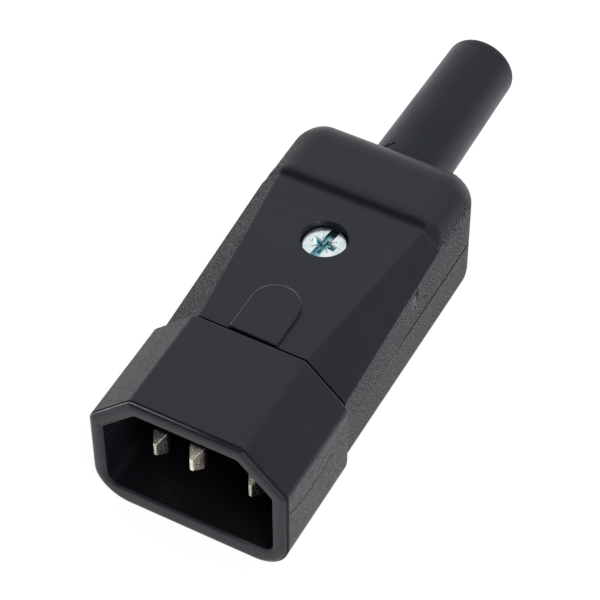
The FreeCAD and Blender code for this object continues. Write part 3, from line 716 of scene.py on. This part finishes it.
# %% Tree for threaded screws
def threaded_screws_tree():
    """Geometry Nodes tree: screws with a head object and a rolled thread at every point."""
    tree = bpy.data.node_groups.new("threaded_screws", "GeometryNodeTree")
    sockets = [("Seats", "NodeSocketGeometry"), ("Head", "NodeSocketObject"), ("Radius", "NodeSocketFloat"),
               ("Depth", "NodeSocketFloat"), ("Pitch", "NodeSocketFloat"), ("Length", "NodeSocketFloat"),
               ("Rows", "NodeSocketInt"), ("Plating", "NodeSocketMaterial")]
    for name, kind in sockets:
        tree.interface.new_socket(name, in_out="INPUT", socket_type=kind)
    tree.interface.new_socket("Screws", in_out="OUTPUT", socket_type="NodeSocketGeometry")
    given = add(tree, "NodeGroupInput", out=None)

    steps_round = 36
    grid = add(tree, "GeometryNodeMeshGrid", {"Size X": 2 * math.pi, "Size Y": given["Length"],
                                              "Vertices X": steps_round + 1, "Vertices Y": given["Rows"]},
               out="Mesh")
    flat = add(tree, "ShaderNodeSeparateXYZ", {0: add(tree, "GeometryNodeInputPosition")}, out=None)
    climb = add(tree, "ShaderNodeMath", {0: flat["Y"], 1: given["Pitch"]}, operation="DIVIDE")
    share = add(tree, "ShaderNodeMath", {0: flat["X"], 1: 2 * math.pi}, operation="DIVIDE")
    turns = add(tree, "ShaderNodeMath", {0: climb, 1: share}, operation="SUBTRACT")
    zigzag = add(tree, "ShaderNodeMath", {0: turns, 1: 0.5}, operation="PINGPONG")
    twice = add(tree, "ShaderNodeMath", {0: given["Depth"], 1: 2.0}, operation="MULTIPLY")
    groove = add(tree, "ShaderNodeMath", {0: zigzag, 1: twice}, operation="MULTIPLY")
    thread = add(tree, "ShaderNodeMath", {0: given["Radius"], 1: groove}, operation="SUBTRACT")
    away = add(tree, "ShaderNodeMath", {0: flat["Y"]}, operation="ABSOLUTE")
    # Just under a half, so that the rows at both ends fall outside
    half = add(tree, "ShaderNodeMath", {0: given["Length"], 1: 0.4999}, operation="MULTIPLY")
    inside = add(tree, "ShaderNodeMath", {0: away, 1: half}, operation="LESS_THAN")
    radius = add(tree, "ShaderNodeMath", {0: thread, 1: inside}, operation="MULTIPLY")
    cosine = add(tree, "ShaderNodeMath", {0: flat["X"]}, operation="COSINE")
    sine = add(tree, "ShaderNodeMath", {0: flat["X"]}, operation="SINE")
    x = add(tree, "ShaderNodeMath", {0: radius, 1: cosine}, operation="MULTIPLY")
    y = add(tree, "ShaderNodeMath", {0: radius, 1: sine}, operation="MULTIPLY")
    z = add(tree, "ShaderNodeMath", {0: given["Length"], 1: -0.5, 2: flat["Y"]}, operation="MULTIPLY_ADD")
    rolled = add(tree, "ShaderNodeCombineXYZ", {"X": x, "Y": y, "Z": z})
    shank = add(tree, "GeometryNodeSetPosition", {"Geometry": grid, "Position": rolled})
    shank = add(tree, "GeometryNodeMergeByDistance", {"Geometry": shank, "Distance": 0.001 * MM})

    head = add(tree, "GeometryNodeObjectInfo", {"Object": given["Head"]}, out="Geometry")
    screw = add(tree, "GeometryNodeJoinGeometry", {0: shank})
    tree.links.new(head, screw.node.inputs[0])
    placed = add(tree, "GeometryNodeInstanceOnPoints", {"Points": given["Seats"], "Instance": screw})
    real = add(tree, "GeometryNodeRealizeInstances", {"Geometry": placed})
    plated = add(tree, "GeometryNodeSetMaterial", {"Geometry": real, "Material": given["Plating"]})
    add(tree, "NodeGroupOutput", {"Screws": plated})
    return tree


screws_tree = threaded_screws_tree()
print("tree:", screws_tree.name, len(screws_tree.nodes), "nodes")

# %% [markdown]
# ## From tree to mesh
#
# A tree becomes a plain mesh in three steps: a modifier on a carrier, whose inputs are set by identifier,
# then the evaluated object turned into a mesh, then an object at the origin without any modifier. The
# cover screw is the first to be made so. Its carrier is a single point under its head.

# %% Cover screw
def grow(name, carrier_mesh, tree, **inputs):
    """Plain object from a Geometry Nodes tree on a carrier mesh."""
    carrier = bpy.data.objects.new("carrier", carrier_mesh)
    modifier = carrier.modifiers.new("tree", "NODES")
    modifier.node_group = tree
    identifiers = {item.name: item.identifier for item in tree.interface.items_tree if item.in_out == "INPUT"}
    for label, value in inputs.items():
        modifier[identifiers[label]] = value
    bpy.context.collection.objects.link(carrier)
    mesh = bpy.data.meshes.new_from_object(carrier.evaluated_get(bpy.context.evaluated_depsgraph_get()))
    mesh.name = name
    if mesh.materials[0] is None:
        mesh.materials.pop(index=0)     # the empty slot of a mesh that had no material before the tree's end
    bpy.data.objects.remove(carrier)
    grown = bpy.data.objects.new(name, mesh)
    bpy.context.collection.objects.link(grown)
    return grown


def seats(name, nodes, head_height):
    """Mesh of one point under the head of each screw solid."""
    points = []
    for node in nodes:
        low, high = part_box(node)
        points.append(((low[0] + high[0]) / 2, (low[1] + high[1]) / 2, high[2] - head_height * MM))
    mesh = bpy.data.meshes.new(name)
    mesh.from_pydata(points, [], [])
    return mesh


cover_screw = grow("cover_screw_threaded", seats("cover_seat", ["cover_screw"], cover_height), screws_tree,
                   Head=cover_head, Radius=1.5 * MM, Depth=0.28 * MM, Pitch=0.5 * MM, Length=12.0 * MM,
                   Rows=193, Plating=blue_zinc)
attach(cover_screw, "root")
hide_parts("cover_screw")
print("cover screw:", len(cover_screw.data.polygons), "faces")

# %% [markdown]
# ## Terminal and clamp screws
#
# The screws inside are cheese-head screws: an upright edge, a small chamfer and a plain slot. They come
# from the same tree with other numbers, three in the terminals and two in the cable clamp.

# %% Terminal and clamp screws
cheese_height, cheese_chamfer = 1.7, 0.23
cheese_slot_width, cheese_slot_depth = 0.7, 0.8


def cheese_head(name, node):
    """Slotted head as wide as a screw solid."""
    low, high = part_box(node)
    radius = (high[0] - low[0]) / 2 / MM
    profile = [(0, 0), (radius, 0), (radius, cheese_height - cheese_chamfer),
               (radius - cheese_chamfer, cheese_height), (0, cheese_height)]
    slot = punch(-radius - 1, radius + 1, cheese_slot_width, cheese_height, cheese_slot_depth, 0.05, 0.0)
    return pressed_head(name, profile, [slot])


terminal_nodes = ["line_terminal_screw", "neutral_terminal_screw", "earth_terminal_screw"]
clamp_nodes = ["left_clamp_screw", "right_clamp_screw"]
terminal_head = cheese_head("terminal_head", terminal_nodes[0])
clamp_head = cheese_head("clamp_head", clamp_nodes[0])
terminal_screws = grow("terminal_screws_threaded", seats("terminal_seats", terminal_nodes, cheese_height),
                       screws_tree, Head=terminal_head, Radius=1.25 * MM, Depth=0.24 * MM, Pitch=0.45 * MM,
                       Length=2.1 * MM, Rows=41, Plating=zinc)
clamp_screws = grow("clamp_screws_threaded", seats("clamp_seats", clamp_nodes, cheese_height),
                    screws_tree, Head=clamp_head, Radius=1.3 * MM, Depth=0.3 * MM, Pitch=0.9 * MM,
                    Length=8.0 * MM, Rows=97, Plating=zinc)
for screws, nodes in ((terminal_screws, terminal_nodes), (clamp_screws, clamp_nodes)):
    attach(screws, "root")
    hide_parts(*nodes)
for head in (cover_head, terminal_head, clamp_head):
    bpy.data.objects.remove(head)
print("small screws:", len(terminal_screws.data.polygons), "+", len(clamp_screws.data.polygons), "faces")

# %% [markdown]
# ## Tongue
#
# A flat tongue with a round end lies on the cover's panel and reaches towards the hood. Its walls are
# steep and its edges nearly sharp, so its right wall mirrors only black plastic and draws a dark line. The
# solid carries a softer one. This crisp slab covers it: an outline of a straight part and a half circle,
# lofted upwards in rings. The bevel tool would be shorter to write, but along short edges, like those of
# the half circle, its width shrinks.

# %% Tongue
tongue_half, tongue_front, tongue_centre = 3.47, -25.56, -19.725
tongue_low, tongue_top, tongue_edge = 20.4, 21.2, 0.16
arc_steps, edge_steps = 48, 5


def tongue_outline(inset, front):
    """Points of the tongue's right side, round end and left side, set in by a distance; in millimetres."""
    radius = tongue_half - inset
    angles = [math.pi * i / arc_steps for i in range(arc_steps + 1)]
    arc = [(radius * math.cos(angle), tongue_centre + radius * math.sin(angle)) for angle in angles]
    return [(radius, front)] + arc + [(-radius, front)]


levels = [(0.0, tongue_low)]
for k in range(edge_steps + 1):
    angle = math.pi / 2 * k / edge_steps
    levels.append((tongue_edge * (1 - math.cos(angle)), tongue_top - tongue_edge * (1 - math.sin(angle))))
shape = bmesh.new()
rings = []
for inset, height in levels:
    rings.append([shape.verts.new((x * MM, y * MM, height * MM))
                  for x, y in tongue_outline(inset, tongue_front + inset)])
shape.faces.new(rings[0])
shape.faces.new(rings[-1])
for low, high in zip(rings, rings[1:]):
    for i in range(len(low)):
        j = (i + 1) % len(low)
        shape.faces.new((low[i], low[j], high[j], high[i])).smooth = low is not rings[0]
bmesh.ops.recalc_face_normals(shape, faces=shape.faces)
tongue_mesh = bpy.data.meshes.new("panel_tongue")
shape.to_mesh(tongue_mesh)
shape.free()
tongue_mesh.materials.append(shell_plastic)
tongue = bpy.data.objects.new("panel_tongue", tongue_mesh)
bpy.context.collection.objects.link(tongue)
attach(tongue, "root")
print("tongue:", len(tongue_mesh.polygons), "faces")

# %% [markdown]
# ## Beads along an edge
#
# Two edges of the plug show as fine light lines: the hood's rim, where a hair of plastic was squeezed out
# of the mould, and the tongue, whose light line is a painted highlight. Both are uneven beads along a path.
# A bevelled curve would give an even one. This tree resamples the path, lets the thickness wander with
# noise of a fixed seed and sweeps a small circle along.

# %% Tree for beads
def bead_along_edge_tree():
    """Geometry Nodes tree: uneven bead along a path of edges."""
    tree = bpy.data.node_groups.new("flash_bead", "GeometryNodeTree")
    sockets = [("Edge", "NodeSocketGeometry"), ("Thickness", "NodeSocketFloat"),
               ("Thinnest", "NodeSocketFloat"), ("Seed", "NodeSocketFloat"),
               ("Plastic", "NodeSocketMaterial")]
    for name, kind in sockets:
        tree.interface.new_socket(name, in_out="INPUT", socket_type=kind)
    tree.interface.new_socket("Bead", in_out="OUTPUT", socket_type="NodeSocketGeometry")
    given = add(tree, "NodeGroupInput", out=None)
    path = add(tree, "GeometryNodeMeshToCurve", {"Mesh": given["Edge"]})
    path = add(tree, "GeometryNodeResampleCurve", {"Curve": path, "Length": 0.35 * MM}, mode="LENGTH")
    noise = add(tree, "ShaderNodeTexNoise", {"W": given["Seed"], "Scale": 1 / (1.6 * MM), "Detail": 2.0},
                noise_dimensions="4D")
    share = add(tree, "ShaderNodeMapRange", {"Value": noise, "From Min": 0.3, "From Max": 0.7,
                                             "To Min": given["Thinnest"], "To Max": 1.0})
    path = add(tree, "GeometryNodeSetCurveRadius", {"Curve": path, "Radius": share})
    ring = add(tree, "GeometryNodeCurvePrimitiveCircle", {"Resolution": 8, "Radius": given["Thickness"]})
    bead = add(tree, "GeometryNodeCurveToMesh", {"Curve": path, "Profile Curve": ring, "Fill Caps": True})
    real = add(tree, "GeometryNodeRealizeInstances", {"Geometry": bead})
    done = add(tree, "GeometryNodeSetMaterial", {"Geometry": real, "Material": given["Plastic"]})
    add(tree, "NodeGroupOutput", {"Bead": done})
    return tree


bead_tree = bead_along_edge_tree()
print("tree:", bead_tree.name, len(bead_tree.nodes), "nodes")

# %% [markdown]
# ## Whitened plastic and painted light
#
# Black plastic turns grey where it is bent thin, as at the flash. Towards the right the flash's grey gives
# way to painted shade, and the tongue's grey line is a painted highlight. So the material goes from pale to
# black across the plug, and noise breaks the pale part into streaks. Vertex colours could do it too, but
# they would need many more points along so fine a bead.

# %% Whitened plastic and painted light
def pale_plastic_with_painted_light(name, pale, begin, end):
    """Plastic that is pale up to a place across the plug, in millimetres, and black past another."""
    material = new_material(name)
    tree = material.node_tree
    position = add(tree, "ShaderNodeTexCoord", out="Object")
    across = add(tree, "ShaderNodeSeparateXYZ", {0: position}, out="X")
    # The pale side is whitened plastic on the flash and a painted highlight on the tongue; the black side is
    # painted shade
    pale_side = add(tree, "ShaderNodeMapRange", {"Value": across, "From Min": begin * MM, "From Max": end * MM,
                                            "To Min": 1.0, "To Max": 0.0})
    streaks = add(tree, "ShaderNodeTexNoise", {"Vector": position, "Scale": 1 / (2 * MM), "Detail": 3.0})
    pale_share = add(tree, "ShaderNodeMath", {0: pale_side, 1: streaks}, operation="MULTIPLY")
    shade = add(tree, "ShaderNodeMix", {0: pale_share, 6: linear("#030304"), 7: linear(pale)},
                data_type="RGBA", out=2)
    gloss = add(tree, "ShaderNodeMapRange", {"Value": pale_side, "To Min": 0.95, "To Max": 0.5})
    skin = add(tree, "ShaderNodeBsdfPrincipled", {"Base Color": shade, "Roughness": gloss})
    add(tree, "ShaderNodeOutputMaterial", {"Surface": skin})
    return material


# Whitened light grey at the left, darker along the top, and painted shade that turns it black at the right
flash_plastic = pale_plastic_with_painted_light("pale_flash_polyamide_with_painted_shade", "#d8d9de", -11, 5)
# A painted highlight: grey, black at the right end
bead_plastic = pale_plastic_with_painted_light("painted_highlight_polyamide", "#8c8d92", 2.4, 3.4)
print("whitened:", flash_plastic.name, bead_plastic.name)

# %% [markdown]
# ## Flash round the hood's rim
#
# The two halves of the hood's mould meet at the outer edge of its front rim, and there the hair of plastic
# stands. The edge's own points in the hood's mesh give the path, sorted by their angle round the hood. It
# is set in by the bead's radius, so that the bead stays inside the hood's outline.

# %% Flash
flash_radius = 0.075
flash_spare = 0.005         # how far the bead stays inside the outline
flash_forward = 0.05        # how far it stands before the edge

hood_middle = (hood_low + hood_high) / 2
edge_depth = hood_low.y + rim_fall * MM
found = {}
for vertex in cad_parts["front_hood"].data.vertices:
    if abs(vertex.co.y - edge_depth) < 0.002 * MM:
        found[tuple(round(v / MM, 2) for v in vertex.co)] = vertex.co.copy()
loop = sorted(found.values(), key=lambda co: math.atan2(co.z - hood_middle.z, co.x - hood_middle.x))
print("points at the rim's edge:", len(loop))
inset = [1 - (flash_radius + flash_spare) * MM / (hood_high[k] - hood_middle[k]) for k in (0, 2)]
edge_mesh = bpy.data.meshes.new("rim_edge")
edge_mesh.from_pydata([(hood_middle.x + (co.x - hood_middle.x) * inset[0], co.y - flash_forward * MM,
                        hood_middle.z + (co.z - hood_middle.z) * inset[1]) for co in loop],
                      [(i, (i + 1) % len(loop)) for i in range(len(loop))], [])
flash = grow("rim_flash", edge_mesh, bead_tree, Thickness=flash_radius * MM, Thinnest=0.35, Seed=3.0,
             Plastic=flash_plastic)
flash.data.shade_smooth()
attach(flash, "root")
print("flash:", len(flash.data.polygons), "faces")

# %% [markdown]
# ## Painted highlight on the tongue's edge
#
# A painted highlight runs along the tongue's edge at its left and round its end. The same tree draws that
# line: the path is the slab's outline without its right side, set in to the middle of the edge's rounding.

# %% Painted highlight on the tongue
bead_radius = 0.065
bead_start = tongue_front + 0.2     # clear of the tongue's front
bead_height = tongue_top - 0.03     # so that only its upper half shows
bead_path = tongue_outline(0.5 * tongue_edge, bead_start)[1:]
path_mesh = bpy.data.meshes.new("tongue_edge")
path_mesh.from_pydata([(x * MM, y * MM, bead_height * MM) for x, y in bead_path],
                      [(i, i + 1) for i in range(len(bead_path) - 1)], [])
painted_highlight_bead = grow("tongue_rubbed_edge", path_mesh, bead_tree, Thickness=bead_radius * MM, Thinnest=0.7,
                   Seed=5.0, Plastic=bead_plastic)
painted_highlight_bead.data.shade_smooth()
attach(painted_highlight_bead, "root")
print("rubbed edge:", len(painted_highlight_bead.data.polygons), "faces")
